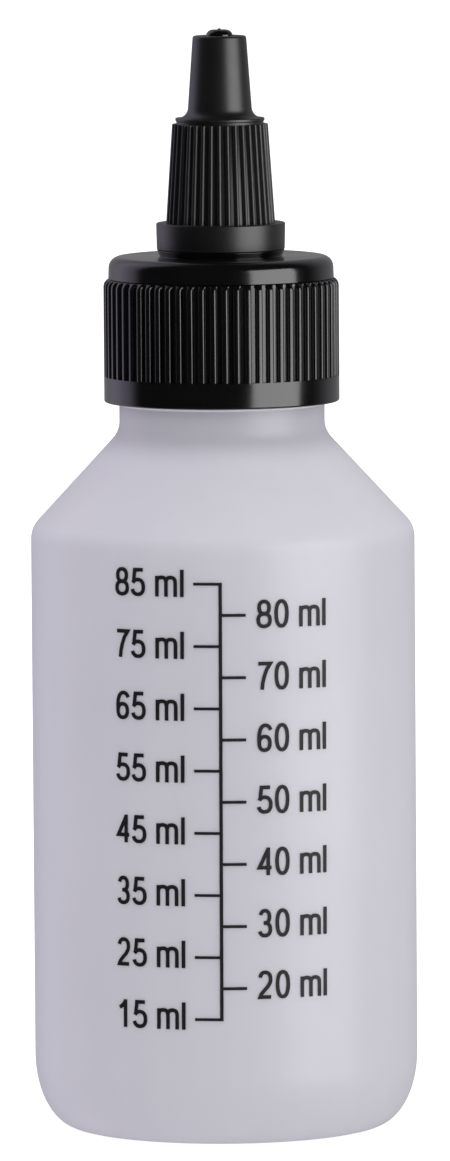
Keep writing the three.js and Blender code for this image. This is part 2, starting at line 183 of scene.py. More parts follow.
class NozzleSizes(bpy.types.PropertyGroup):
    """Sizes of the twist nozzle"""
    collar_radius: length("Collar Radius", "Radius of the collar's lower edge", 7.41)
    collar_top_radius: length("Collar Top Radius", "Radius of the collar's upper edge", 7.48)
    collar_height: length("Collar Height", "Height of the collar", 3.1)
    grip_height: length("Grip Height", "Height of the ledge above the nozzle's foot", 14.88)
    grip_radius: length("Grip Radius", "Radius over the ribs at the collar", 6.31)
    grip_top_radius: length("Grip Top Radius", "Radius over the ribs at their upper ends", 5.55)
    rib_count: number("Rib Count", "Ribs around the grip", 36)
    rib_depth: length("Rib Depth", "Depth of the valleys between the ribs", 0.45)
    tip_edge: length("Tip Edge", "Rounding of the tip's end", 0.3)
    rib_gap: length("Rib Gap", "Distance from the ribs' ends to the ledge", 0.35)
    ledge_radius: length("Ledge Radius", "Radius of the ledge above the ribs", 5.165)
    ledge_height: length("Ledge Height", "Thickness of the ledge", 0.35)
    groove_radius: length("Groove Radius", "Radius of the groove under the ledge", 5.05)
    foot_radius: length("Foot Radius", "Radius of the smooth tip at its foot", 3.78)
    tip_radius: length("Tip Radius", "Radius of the smooth tip at its end", 3.1)
    tip_fillet: length("Tip Fillet", "Radius between the ledge and the tip", 1.22)
    edge: length("Edge", "Rounding of the small edges", 0.14)
    orifice: length("Orifice", "Radius of the orifice around the pin", 1.904)
    orifice_depth: length("Orifice Depth", "Length of the narrow orifice", 1.2)
    orifice_cone: length("Orifice Cone", "Height of the cone under the orifice", 0.3)
    tip_bore: length("Tip Bore", "Inner radius of the smooth tip", 2.3)
    grip_bore: length("Grip Bore", "Inner radius of the grip", 4.3)
    roof_drop: length("Roof Drop", "Height of the bore's cone below the ledge", 1.4)
    lip_radius: length("Lip Radius", "Inner radius of the retaining lip", 3.7)
    lip_height: length("Lip Height", "Height of the retaining lip", 1.2)


class PrintSizes(bpy.types.PropertyGroup):
    """Sizes of the printed numbers beside the scale"""
    first: number("First", "Millilitres at the lowest tick", 15)
    step: number("Step", "Millilitres from one tick to the next", 5)
    ticks: number("Ticks", "Number of ticks", 15)
    gap: length("Gap", "Distance of the ink's inner face from the wall", 0.03)
    ink: length("Ink", "Thickness of the ink", 0.06)
    digit_height: length("Digit Height", "Height of the digits", 3.18)
    stroke: length("Stroke", "Width of the numbers' strokes", 0.43)
    line_width: length("Line Width", "Width of the scale's upright line", 0.39)
    tick_width: length("Tick Width", "Width of the ticks", 0.33)
    unevenness: length("Unevenness", "How far the ink's edges wander", 0.012)
    left_edge: length("Left Edge", "From the line to the left numbers' outer edge", 12.68)
    right_edge: length("Right Edge", "From the line to the right numbers' inner edge", 4.17)
    digit_pitch: length("Digit Pitch", "Distance from one digit to the next", 2.06)
    m_place: length("M Place", "From the number's left edge to the letter m", 5.09)
    l_place: length("L Place", "From the number's left edge to the letter l", 8.06)
    label_rise: length("Label Rise", "How far a number's middle sits above its tick", 0.40)
    lean: tilt("Lean", "How far the print leans to the right", 0.166)
    nudge: length("Nudge", "How far the print sits to the right of the middle", 0.045)
    label_pitch: length("Label Pitch", "Height from one number to the next", 3.558)


class Finishes(bpy.types.PropertyGroup):
    """Colours and gloss of the plastics and the ink"""
    milky: shade("Milky Plastic", "Colour of the bottle", (0.682, 0.680, 0.722))
    milky_deep: shade("Milky, Thick", "Colour where the bottle's wall is thicker", (0.652, 0.649, 0.695))
    # Painted shade: this darker colour stands in for the shade that the cap casts on the plain neck
    milky_neck_shade: shade("Milky, Neck", "Colour of the plain neck, thickest of all", (0.560, 0.558, 0.596))
    # Painted highlight: this near-white colour stands in for the bright line of light on the bead under the
    # cap's rim
    milky_bead_highlight: shade("Milky, Bead", "Colour of the lit bead under the cap", (0.97, 0.97, 0.99))
    gloss_black: shade("Gloss Black", "Colour of the cap", (0.0016, 0.0015, 0.0017))
    satin_black: shade("Satin Black", "Colour of the nozzle", (0.0022, 0.0020, 0.0023))
    ink: shade("Ink", "Colour of the printed scale", (0.012, 0.010, 0.013))
    foam: shade("Foam", "Colour of the liner", (0.86, 0.85, 0.82))


class StudioSettings(bpy.types.PropertyGroup):
    """The camera, the floor and the lights"""
    camera_reach: length("Camera Reach", "Distance of the camera from the bottle's axis", 1396)
    camera_height: length("Camera Height", "Height of the camera above the floor", 194.95)
    camera_turn: tilt("Camera Turn", "How far the camera stands to the right", 1.2)
    camera_dip: tilt("Camera Dip", "How far the camera looks down", 5.3805)
    camera_roll: tilt("Camera Roll", "Lean of the picture", 0.40)
    lens: FloatProperty(name="Lens", description="Focal length in millimetres", default=374.7, min=1)
    side_shift: FloatProperty(name="Side Shift", description="Sideways shift of the frame", default=0.0016)
    floor_radius: length("Floor Radius", "Radius of the floor", 2950)
    floor: shade("Floor", "Colour of the floor", (0.88, 0.88, 0.885))


# Drawing the profiles that are turned about the bottle's axis

def spot(radius, height):
    return Vector((radius, height))


def rounded(before, corner, after, radius, steps=ARC_STEPS):
    """Points of the arc that rounds a corner of a profile"""
    back = (before - corner).normalized()
    ahead = (after - corner).normalized()
    half = back.angle(ahead) / 2
    centre = corner + (back + ahead).normalized() * (radius / math.sin(half))
    start = corner + back * (radius / math.tan(half)) - centre
    end = corner + ahead * (radius / math.tan(half)) - centre
    sweep = math.atan2(start.x * end.y - start.y * end.x, start.dot(end))
    points = []
    for i in range(steps + 1):
        angle = sweep * i / steps
        turned = spot(start.x * math.cos(angle) - start.y * math.sin(angle),
                      start.x * math.sin(angle) + start.y * math.cos(angle))
        points.append(centre + turned)
    return points


def smoothed(corners, steps=ARC_STEPS):
    """A profile from corners, each (radius, height, fillet); a fillet of 0 stays sharp"""
    points = []
    for i, (radius, height, fillet) in enumerate(corners):
        here = spot(radius, height)
        if fillet == 0 or i in (0, len(corners) - 1):
            points.append(here)
        else:
            before, after = spot(*corners[i - 1][:2]), spot(*corners[i + 1][:2])
            points.extend(rounded(before, here, after, fillet, steps))
    return points


def stepped(start, end, count):
    """Points between two profile points, both left out"""
    return [start.lerp(end, i / count) for i in range(1, count)]


def base_corner(wall_radius, depth, height, low, steps=16):
    """Points of the quarter ellipse from the foot out and up to the wall"""
    points = []
    for i in range(steps + 1):
        angle = math.pi / 2 * i / steps
        points.append(spot(wall_radius - depth + depth * math.sin(angle),
                           low + height * (1 - math.cos(angle))))
    return points


def push_up_dome(rim_radius, rise, low, steps=8):
    """Points of the dome under the foot, from its rim to the axis"""
    shares = [1 - i / steps for i in range(steps + 1)]
    return [spot(rim_radius * share, low + rise * (1 - share ** 2)) for share in shares]


# Modelling

def select_only(main, *others):
    """Selects these objects and no others, and makes the first one active"""
    bpy.ops.object.select_all(action="DESELECT")
    for obj in (main, *others):
        obj.select_set(True)
    bpy.context.view_layer.objects.active = main


def in_edit_mode(obj, select="DESELECT"):
    """Opens one mesh for editing and gives its vertices, edges and faces"""
    select_only(obj)
    bpy.ops.object.mode_set(mode="EDIT")
    bpy.ops.mesh.select_mode(type="VERT")
    bpy.ops.mesh.select_all(action=select)
    return bmesh.from_edit_mesh(obj.data)


def leave_edit_mode(obj):
    bmesh.update_edit_mesh(obj.data)
    bpy.ops.object.mode_set(mode="OBJECT")


def weld(obj):
    """Merges the double points of a mesh and turns its faces outwards"""
    in_edit_mode(obj, "SELECT")
    bpy.ops.mesh.remove_doubles(threshold=MERGE_DISTANCE)
    bpy.ops.mesh.normals_make_consistent(inside=False)
    leave_edit_mode(obj)


def drawn(name, points):
    """Pulls a single point along a path in the XZ plane"""
    path = [Vector((p.x, 0, p.y)) for p in points]
    bpy.ops.mesh.primitive_plane_add(size=MM, location=path[0])
    obj = bpy.context.object
    obj.name = name
    bpy.ops.object.transform_apply()
    in_edit_mode(obj, "SELECT")
    bpy.ops.mesh.merge(type="CENTER")
    for start, end in zip(path, path[1:]):
        bpy.ops.mesh.extrude_region_move(TRANSFORM_OT_translate={"value": end - start})
    leave_edit_mode(obj)
    return obj


def apply_modifier(obj, kind, **settings):
    """Adds a modifier to a mesh, sets it up and applies it"""
    modifier = obj.modifiers.new(kind, kind)
    for name, value in settings.items():
        setattr(modifier, name, value)
    bpy.ops.object.modifier_apply(modifier=modifier.name)


def spun(name, profile, steps):
    """Turns a profile about the Z axis"""
    obj = drawn(name, profile)
    in_edit_mode(obj, "SELECT")
    bpy.ops.mesh.remove_doubles(threshold=MERGE_DISTANCE)
    leave_edit_mode(obj)
    apply_modifier(obj, "SCREW", steps=steps, render_steps=steps, use_merge_vertices=True,
                   merge_threshold=MERGE_DISTANCE)
    weld(obj)
    return obj


def carve_ribs(obj, count, depths, low, high, valley_radius):
    """Shapes the ribs of a turned wall: depths tell how far each column of one rib is pushed in"""
    columns = len(depths)
    mesh = in_edit_mode(obj)
    groups = {}
    for vertex in mesh.verts:
        radius = math.hypot(vertex.co.x, vertex.co.y)
        place = round(math.atan2(vertex.co.y, vertex.co.x) % TURN / TURN * count * columns) % columns
        floor = valley_radius(vertex.co.z)
        if low - TINY < vertex.co.z < high + TINY and radius > floor + TINY and depths[place] > 0:
            ring = (round(vertex.co.z, 7), round(radius, 6), depths[place])
            groups.setdefault(ring, []).append(vertex.index)
    for (height, radius, depth), members in groups.items():
        bpy.ops.mesh.select_all(action="DESELECT")
        mesh = bmesh.from_edit_mesh(obj.data)
        mesh.verts.ensure_lookup_table()
        for index in members:
            mesh.verts[index].select_set(True)
        shrink = max(valley_radius(height), radius - depth) / radius
        bpy.ops.transform.resize(value=(shrink, shrink, 1), center_override=(0, 0, height))
    leave_edit_mode(obj)
    weld(obj)


def wound_ridge(name, wall_radius, depth, root, crest, start, sizes):
    """A trapezoid ridge wound up a wall: a negative depth stands inwards"""
    sunk = math.copysign(RIDGE_SINK, depth)
    bpy.ops.mesh.primitive_plane_add(size=1, rotation=(math.pi / 2, 0, 0),
                                     location=(wall_radius + (depth - sunk) / 2, 0, start))
    obj = bpy.context.object
    obj.name = name
    obj.scale = (abs(depth + sunk), root, 1)
    bpy.ops.object.transform_apply()
    mesh = in_edit_mode(obj)
    for vertex in mesh.verts:
        vertex.select_set((vertex.co.x - wall_radius) * depth > 0)
    bmesh.update_edit_mesh(obj.data)
    bpy.ops.transform.resize(value=(1, 1, crest / root), center_override=(wall_radius, 0, start))
    leave_edit_mode(obj)
    steps = int(THREAD_STEPS * sizes.turns)
    apply_modifier(obj, "SCREW", angle=TURN * sizes.turns, screw_offset=sizes.pitch * sizes.turns,
                   steps=steps, render_steps=steps)
    in_edit_mode(obj, "SELECT")
    bpy.ops.mesh.remove_doubles(threshold=MERGE_DISTANCE)
    bpy.ops.mesh.fill_holes(sides=4)
    bpy.ops.mesh.normals_make_consistent(inside=False)
    leave_edit_mode(obj)
    return obj


def joined(main, *others):
    """Joins pieces of one moulding into a single object"""
    select_only(main, *others)
    if others:
        bpy.ops.object.join()
    return main


def finished(obj, name, material, body, slot, *nodes):
    """Names a piece, gives it its finish and sets it on the body that it moves with"""
    select_only(obj)
    bpy.ops.object.shade_smooth_by_angle(angle=SMOOTH_ANGLE)
    obj.name = name
    obj.data.name = name
    obj.data.materials.clear()
    obj.data.materials.append(material)
    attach(obj, body)
    if nodes:
        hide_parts(*nodes)
    return obj


# Shaders

class Wire:
    """A shader socket that Python's operators work on"""

    def __init__(self, tree, socket=None):
        self.tree = tree
        self.socket = socket

    def add(self, kind, settings=None, inputs=None, output=0):
        node = self.tree.nodes.new(kind)
        for name, value in (settings or {}).items():
            setattr(node, name, value)
        for key, value in (inputs or {}).items():
            self.plug(value, node.inputs[key])
        return Wire(self.tree, node.outputs[output])

    def plug(self, value, socket):
        """Links a wire to a socket, or sets a plain value on it"""
        if isinstance(value, Wire):
            self.tree.links.new(value.socket, socket)
        else:
            socket.default_value = value

    def math(self, operation, first, second=0.0):
        return self.add("ShaderNodeMath", {"operation": operation}, {0: first, 1: second})

    def __add__(self, other):
        return self.math("ADD", self, other)

    def __sub__(self, other):
        return self.math("SUBTRACT", self, other)

    def __rsub__(self, other):
        return self.math("SUBTRACT", other, self)

    def __mul__(self, other):
        return self.math("MULTIPLY", self, other)

    def __abs__(self):
        return self.math("ABSOLUTE", self)

    def between(self, low, high):
        """0 below low, 1 above high, smooth between"""
        return self.add("ShaderNodeMapRange", {"interpolation_type": "SMOOTHSTEP"},
                        {"Value": self, "From Min": low, "From Max": high})


def new_material(name):
    """A material, its Principled shader, a wire to begin from and the point on the piece, in metres"""
    material = bpy.data.materials.new(name)
    material.use_nodes = True
    tree = material.node_tree
    tree.nodes.clear()
    output = tree.nodes.new("ShaderNodeOutputMaterial")
    surface = tree.nodes.new("ShaderNodeBsdfPrincipled")
    tree.links.new(surface.outputs[0], output.inputs["Surface"])
    start = Wire(tree)
    return material, surface, start, start.add("ShaderNodeTexCoord", output="Object")


def feed(start, surface, **inputs):
    """Links wires to a shader's sockets and sets plain values on them"""
    for key, value in inputs.items():
        start.plug(value, surface.inputs[key.replace("_", " ")])


def along(start, place, axis):
    """One part of a point or a direction: axis 0 is X, 1 is Y and 2 is Z"""
    return start.add("ShaderNodeSeparateXYZ", inputs={0: place}, output=axis)


def noise(start, place, scale, detail=2.0, roughness=0.5, stretch=(1, 1, 1)):
    stretched = start.add("ShaderNodeMapping", inputs={"Vector": place, "Scale": stretch})
    return start.add("ShaderNodeTexNoise", inputs={
        "Vector": stretched, "Scale": scale, "Detail": detail, "Roughness": roughness})


def bump(start, height, strength, distance):
    return start.add("ShaderNodeBump", inputs={
        "Height": height, "Strength": strength, "Distance": distance})


def blended(start, share, first, second):
    """A colour between two: 6 and 7 are the Mix node's colour sockets, and 2 is its colour output"""
    return start.add("ShaderNodeMix", {"data_type": "RGBA"},
                     {"Factor": share, 6: first, 7: second}, output=2)


def opaque(colour):
    return (*colour, 1)


# Heights on the bottle between which its colour turns to the neck's painted shade, and where the painted
# highlight on the bead begins and ends
NECK_SHADE_FADE = (77.5 * MM, 81.5 * MM)
BEAD_HIGHLIGHT_FOOT = 83.9 * MM
BEAD_HIGHLIGHT_TOP = 84.9 * MM
BEAD_FADE = 0.3 * MM


def milky_plastic(finishes):
    """Natural polyethylene: cloudy, with faint upright flow marks and a fine skin; the plain neck carries
    painted shade under the cap, and the bead a painted highlight
    """
    material, surface, start, place = new_material("milky_plastic")
    sideways, height = along(start, place, 1), along(start, place, 2)
    cloud = noise(start, place, scale=60, detail=3, stretch=(1, 1, 0.6))
    flow = noise(start, place, scale=240, detail=2, stretch=(1, 1, 0.06))
    thick = (cloud * 0.75 + flow * 0.25).between(0.3, 0.7)
    wall = blended(start, thick, opaque(finishes.milky), opaque(finishes.milky_deep))
    # Painted shade: the colour darkens up the plain neck towards the cap, standing in for the cap's shade
    neck = blended(start, height.between(*NECK_SHADE_FADE), wall, opaque(finishes.milky_neck_shade))
    closed = blended(start, height.between(BEAD_HIGHLIGHT_TOP - 2 * BEAD_FADE, BEAD_HIGHLIGHT_TOP - BEAD_FADE), neck, wall)
    # Painted highlight: a near-white band on the bead just under the cap's rim
    bead = height.between(BEAD_HIGHLIGHT_FOOT, BEAD_HIGHLIGHT_FOOT + BEAD_FADE) - height.between(BEAD_HIGHLIGHT_TOP - BEAD_FADE, BEAD_HIGHLIGHT_TOP)
    colour = blended(start, bead, closed, opaque(finishes.milky_bead_highlight))
    skin = noise(start, place, scale=1400, detail=3, roughness=0.6)
    parting = 1 - abs(sideways).between(0.04 * MM, 0.16 * MM)
    relief = skin * 0.35 + flow * 0.4 + parting * 0.8
    feed(start, surface, Base_Color=colour, Roughness=cloud * 0.1 + 0.34,
         Normal=bump(start, relief, strength=0.22, distance=0.06 * MM), IOR=1.5,
         Subsurface_Weight=0.35, Subsurface_Radius=(1.0, 0.95, 1.0), Subsurface_Scale=3.5 * MM)
    return material


def black_plastic(name, colour, rough, spread, skin_scale, skin_depth):
    """Moulded black polypropylene with fine handling marks"""
    material, surface, start, place = new_material(name)
    drift = noise(start, place, scale=180, detail=3)
    grain = noise(start, place, scale=skin_scale, detail=3, roughness=0.6)
    marks = noise(start, place, scale=420, detail=4, roughness=0.7, stretch=(1, 1, 0.12))
    marks = marks.between(0.58, 0.78)
    lighter = tuple(min(1, part * 2.2) for part in colour)
    worn = drift * 0.6 + marks * 0.4
    feed(start, surface, Base_Color=blended(start, worn, opaque(colour), opaque(lighter)),
         Roughness=drift * spread + marks * spread + rough,
         Normal=bump(start, grain + drift * 0.5, strength=0.2, distance=skin_depth), IOR=1.8)
    return material


def printed_ink(finishes):
    """Screen-printed ink, a little uneven, with specks where it took less"""
    material, surface, start, place = new_material("printed_ink")
    uneven = noise(start, place, scale=2600, detail=4, roughness=0.7)
    specks = uneven.between(0.66, 0.76)
    worn = tuple(part * 9 for part in finishes.ink)
    feed(start, surface, Base_Color=blended(start, specks, opaque(finishes.ink), opaque(worn)),
         Roughness=uneven * 0.3 + 0.4,
         Normal=bump(start, uneven, strength=0.3, distance=0.02 * MM), IOR=1.45)
    return material


def white_foam(finishes):
    """Foamed washer: fine cells in a matt sheet"""
    material, surface, start, place = new_material("white_foam")
    cells = start.add("ShaderNodeTexVoronoi", inputs={"Vector": place, "Scale": 3000.0})
    darker = tuple(part * 0.86 for part in finishes.foam)
    feed(start, surface, Base_Color=blended(start, cells, opaque(finishes.foam), opaque(darker)),
         Roughness=cells * 0.1 + 0.8,
         Normal=bump(start, cells, strength=0.4, distance=0.05 * MM), IOR=1.5)
    return material


# Bottle

class BOTTLE_OT_body(bpy.types.Operator):
    """Models the blow-moulded bottle with its threaded neck"""
    bl_idname = "bottle.body"
    bl_label = "Bottle"

    def execute(self, context):
        size = context.scene.bottle_sizes
        thread = context.scene.thread_sizes
        shell = spun("bottle_shell", self.profile(size), BOTTLE_STEPS)
        ridge = wound_ridge("neck_thread", size.finish_radius, thread.neck_depth, thread.neck_root,
                            thread.neck_crest, BOTTLE_HIGH.z - thread.below_rim, thread)
        finished(joined(shell, ridge), "bottle_shell", milky_plastic(context.scene.finishes),
                 "bottle_body", "milky_plastic", "bottle")
        return {"FINISHED"}

    def profile(self, size):
        """Up the outside from the axis under the foot, over the rim and down the inside"""
        rim = BOTTLE_HIGH.z
        neck_height = size.body_height + size.shoulder_height
        band_top = neck_height + size.band_height
        slope = spot(size.neck_radius - size.body_radius, size.shoulder_height).normalized()
        lean = size.wall * (1 + slope.x) / slope.y
        inner = size.body_radius - size.wall
        neck_bore = size.neck_radius - size.neck_wall
        mouth = size.finish_radius - size.finish_wall
        inner_shoulder = size.body_height - lean
        inner_neck = inner_shoulder + (inner - neck_bore) * slope.y / -slope.x
        foot_inner = size.body_radius - size.corner_depth - size.foot_width
        corner_end = spot(size.body_radius, size.corner_height)
        shoulder = spot(size.body_radius, size.body_height - size.fillet)
        outside = smoothed([
            (size.body_radius, size.body_height - 2 * size.fillet, 0),
            (size.body_radius, size.body_height, size.fillet),
            (size.neck_radius, neck_height, size.fillet),
            (size.neck_radius, size.bead_low, 0.3 * size.rim_edge),
            (size.neck_radius + size.bead_depth, size.bead_low + size.bead_depth, 0.3 * size.rim_edge),
            (size.neck_radius + size.bead_depth, band_top, 0.5 * size.rim_edge),
            (size.finish_radius, band_top + size.rim_edge, 0.5 * size.rim_edge),
            (size.finish_radius, rim, size.rim_edge),
            (mouth, rim, size.rim_edge),
            (mouth, band_top, size.rim_edge),
            (neck_bore, neck_height, size.rim_edge),
            (neck_bore, inner_neck, size.fillet),
            (inner, inner_shoulder, size.fillet - size.wall),
            (inner, size.corner_height + size.fillet, 0),
        ])
        inside_corner = base_corner(inner, size.corner_depth - size.wall / 2,
                                    size.corner_height - size.wall, size.wall)
        return [
            *reversed(push_up_dome(foot_inner, size.push_up, 0)),
            *base_corner(size.body_radius, size.corner_depth, size.corner_height, 0),
            *stepped(corner_end, shoulder, 12),
            *outside,
            *reversed(inside_corner),
            *push_up_dome(foot_inner, size.push_up, size.wall),
        ]


# Screw cap

class BOTTLE_OT_screw_cap(bpy.types.Operator):
    """Models the ribbed cap with its thread, spout tube and sealing pin"""
    bl_idname = "bottle.screw_cap"
    bl_label = "Screw Cap"

    def execute(self, context):
        scene = context.scene
        size, spout, thread = scene.cap_sizes, scene.spout_sizes, scene.thread_sizes
        rib_low = CAP_LOW.z + size.band_height
        rib_high = rib_low + size.rib_height
        root = size.band_radius - size.rib_depth
        depths = [size.rib_depth * share for share in CAP_RIB_SHAPE]
        deck = NOZZLE_LOW.z - size.boss_height
        shell = spun("cap_shell", self.profile(size, spout, deck, rib_low, rib_high, root),
                     size.rib_count * len(depths))
        carve_ribs(shell, size.rib_count, depths, rib_low + VALLEY_LIP / 2, rib_high, lambda height: root)
        ridge = wound_ridge("cap_thread", size.skirt_radius, -thread.cap_depth, thread.cap_root,
                            thread.cap_crest, BOTTLE_HIGH.z - thread.below_rim - thread.pitch / 2, thread)
        material = black_plastic("gloss_black", scene.finishes.gloss_black, rough=0.13, spread=0.08,
                                 skin_scale=900, skin_depth=0.02 * MM)
        finished(joined(shell, ridge), "cap_shell", material, "cap_body", "gloss_black", "screw_cap")
        finished(self.pin(spout, deck), "sealing_pin", material, "cap_body", "gloss_black", "screw_cap")
        return {"FINISHED"}

    def profile(self, size, spout, deck, rib_low, rib_high, root):
        """Round the skirt, the deck, the boss, the spout tube and back down the inside"""
        bead = NOZZLE_LOW.z + spout.bead_rise
        top = deck + spout.height
        upper = root - size.draft
        edge = size.edge
        return smoothed([
            (size.skirt_radius, CAP_LOW.z + edge, 0),
            (size.skirt_radius + edge, CAP_LOW.z, 0),
            (size.band_radius, CAP_LOW.z, 2 * edge),
            (size.band_radius, rib_low - 2 * VALLEY_LIP, 0),
            (size.band_radius, rib_low, 0),
            (size.band_radius, rib_low + VALLEY_LIP, 0),
            (size.band_radius, rib_high, size.rib_nose),
            (root, rib_high, 0),
            (upper, deck, size.deck_fillet),
            (size.boss_foot_radius, deck, edge / 4),
            (size.boss_radius, NOZZLE_LOW.z - edge / 2, edge / 2),
            (size.boss_radius - edge, NOZZLE_LOW.z, 0),
            (spout.radius, NOZZLE_LOW.z, edge),
            (spout.radius, bead, 0),
            (spout.radius + spout.bead_depth, bead, edge),
            (spout.radius + spout.bead_depth, bead + spout.bead_height / 2, edge),
            (spout.radius, bead + spout.bead_height, 0),
            (spout.radius, top, edge),
            (spout.bore, top, edge),
            (spout.bore, LINER_HIGH.z, edge),
            (size.skirt_radius, LINER_HIGH.z, edge),
            (size.skirt_radius, CAP_LOW.z + edge, 0),
        ])

    def pin(self, spout, deck):
        """The sealing pin and the webs that carry it"""
        top = CAP_HIGH.z - spout.gate_height
        web_top = deck + spout.height
        head = top - spout.pin_head
        pin = spun("sealing_pin", smoothed([
            (0, web_top - spout.web_height, 0),
            (spout.stem_radius, web_top - spout.web_height, spout.pin_soft),
            (spout.stem_radius, head - spout.pin_cone, spout.pin_soft),
            (spout.pin_radius, head, spout.pin_soft),
            (spout.pin_radius, top, spout.pin_edge),
            (spout.gate_radius, top, 0),
            (spout.gate_radius, CAP_HIGH.z, spout.gate_edge),
            (0, CAP_HIGH.z, 0),
        ]), PIN_STEPS)
        reach = (spout.bore + spout.radius) / 2
        webs = []
        for i in range(spout.web_count):
            angle = TURN * i / spout.web_count
            bpy.ops.mesh.primitive_cube_add(
                size=1, rotation=(0, 0, angle),
                scale=(reach, spout.web_width, spout.web_height - spout.web_inset),
                location=(reach / 2 * math.cos(angle), reach / 2 * math.sin(angle),
                          web_top - spout.web_height / 2))
            web = bpy.context.object
            bpy.ops.object.transform_apply()
            in_edit_mode(web, "SELECT")
            bpy.ops.mesh.bevel(offset=spout.web_edge, segments=2, affect="EDGES")
            leave_edit_mode(web)
            webs.append(web)
        return joined(pin, *webs)


# Twist nozzle

class BOTTLE_OT_twist_nozzle(bpy.types.Operator):
    """Models the hollow nozzle with its collar, ribbed grip and smooth tip"""
    bl_idname = "bottle.twist_nozzle"
    bl_label = "Twist Nozzle"

    def execute(self, context):
        size = context.scene.nozzle_sizes
        rib_low = NOZZLE_LOW.z + size.collar_height
        ledge = NOZZLE_LOW.z + size.grip_height
        rib_high = ledge - size.rib_gap
        lean = (size.grip_top_radius - size.grip_radius) / (rib_high - rib_low)
        crest = lambda height: size.grip_radius + lean * (height - rib_low)
        valley = lambda height: crest(height) - size.rib_depth
        depths = [size.rib_depth * share for share in GRIP_RIB_SHAPE]
        shell = spun("nozzle_shell", self.profile(size, rib_low, rib_high, ledge, crest, valley),
                     size.rib_count * len(depths))
        carve_ribs(shell, size.rib_count, depths, rib_low, rib_high, valley)
        material = black_plastic("satin_black", context.scene.finishes.satin_black, rough=0.33, spread=0.12,
                                 skin_scale=1500, skin_depth=0.03 * MM)
        finished(shell, "nozzle_shell", material, "nozzle_body", "satin_black", "twist_nozzle")
        return {"FINISHED"}

    def profile(self, size, rib_low, rib_high, ledge, crest, valley):
        """Round the collar, the grip, the ledge, the tip and back down the bore"""
        tip = NOZZLE_HIGH.z
        ledge_top = ledge + size.ledge_height
        edge = size.edge
        return smoothed([
            (size.lip_radius, NOZZLE_LOW.z, 0),
            (size.collar_radius, NOZZLE_LOW.z, edge),
            (size.collar_top_radius, rib_low, edge),
            (crest(rib_low), rib_low, 0),
            (crest(rib_high), rib_high, 0),
            (valley(rib_high), rib_high, 0),
            (size.groove_radius, rib_high + VALLEY_LIP, 0),
            (size.groove_radius, ledge - VALLEY_LIP, 0),
            (size.ledge_radius, ledge + VALLEY_LIP, 0.5 * edge),
            (size.ledge_radius, ledge_top, 0.5 * edge),
            (size.foot_radius, ledge_top, size.tip_fillet),
            (size.tip_radius, tip, size.tip_edge),
            (size.orifice, tip, edge),
            (size.orifice, tip - size.orifice_depth, 0),
            (size.tip_bore, tip - size.orifice_depth - size.orifice_cone, 0),
            (size.tip_bore, ledge, 0),
            (size.grip_bore, ledge - size.roof_drop, 0),
            (size.grip_bore, NOZZLE_LOW.z + size.lip_height, 0),
            (size.lip_radius, NOZZLE_LOW.z + size.lip_height, 0),
            (size.lip_radius, NOZZLE_LOW.z, 0),
        ])


# Printed scale

def oval(centre_x, centre_y, radius_x, radius_y, start, end, squareness=2.3):
    """Points along a squarish oval, from one angle in degrees to another"""
    steps = max(4, round(abs(end - start) / 15))
    points = []
    for i in range(steps + 1):
        angle = math.radians(start + (end - start) * i / steps)
        across, up = math.cos(angle), math.sin(angle)
        points.append(spot(centre_x + radius_x * math.copysign(abs(across) ** (2 / squareness), across),
                           centre_y + radius_y * math.copysign(abs(up) ** (2 / squareness), up)))
    return points


def line(*corners):
    return [spot(*corner) for corner in corners]


def glyph_strokes():
    """The middle lines of the narrow print's strokes, for a height of 1"""
    wide, low, high = 0.415, 0.054, 0.946
    middle = wide / 2
    waist = 0.51
    return {
        "0": [oval(middle, 0.5, middle - 0.005, 0.45, 90, 450)],
        "1": [line((0.26, 0.0), (0.26, 1.0)),
              line((0.02, 0.71), (0.13, 0.775), (0.22, 0.88), (0.245, 0.94))],
        "2": [oval(middle - 0.005, 0.70, middle - 0.015, 0.25, 168, -28)
              + line((0.30, 0.44), (0.17, 0.30), (0.06, 0.17), (0.012, low), (wide, low))],
        "3": [oval(middle - 0.01, 0.725, 0.165, 0.225, 165, -82) + line((0.15, waist - 0.005)),
              oval(middle - 0.01, 0.275, 0.197, 0.228, 92, -165)],
        "4": [line((0.325, 0.0), (0.325, 1.0)), line((0.315, 0.925), (0.0, 0.275), (0.445, 0.275))],
        "5": [line((0.40, high - 0.005), (0.085, high - 0.005), (0.03, 0.47)),
              oval(middle - 0.005, 0.32, middle + 0.018, 0.268, 150, -165)],
        "6": [oval(middle, 0.295, middle - 0.012, 0.247, 90, 450),
              oval(middle + 0.035, 0.46, middle + 0.033, 0.49, 38, 200)],
        "7": [line((-0.01, high - 0.005), (0.43, high - 0.005), (0.29, 0.72), (0.20, 0.46),
                   (0.145, 0.22), (0.125, 0.0))],
        "8": [oval(middle, 0.725, 0.183, 0.223, 90, 450), oval(middle, 0.275, 0.217, 0.227, 90, 450)],
        "m": [line((0.0, 0.0), (0.0, 0.745)),
              oval(0.172, 0.50, 0.172, 0.195, 172, 0, 2.6) + line((0.344, 0.0)),
              oval(0.516, 0.50, 0.172, 0.195, 172, 0, 2.6) + line((0.688, 0.0))],
        "l": [line((0.0, 0.0), (0.0, 0.985))],
    }


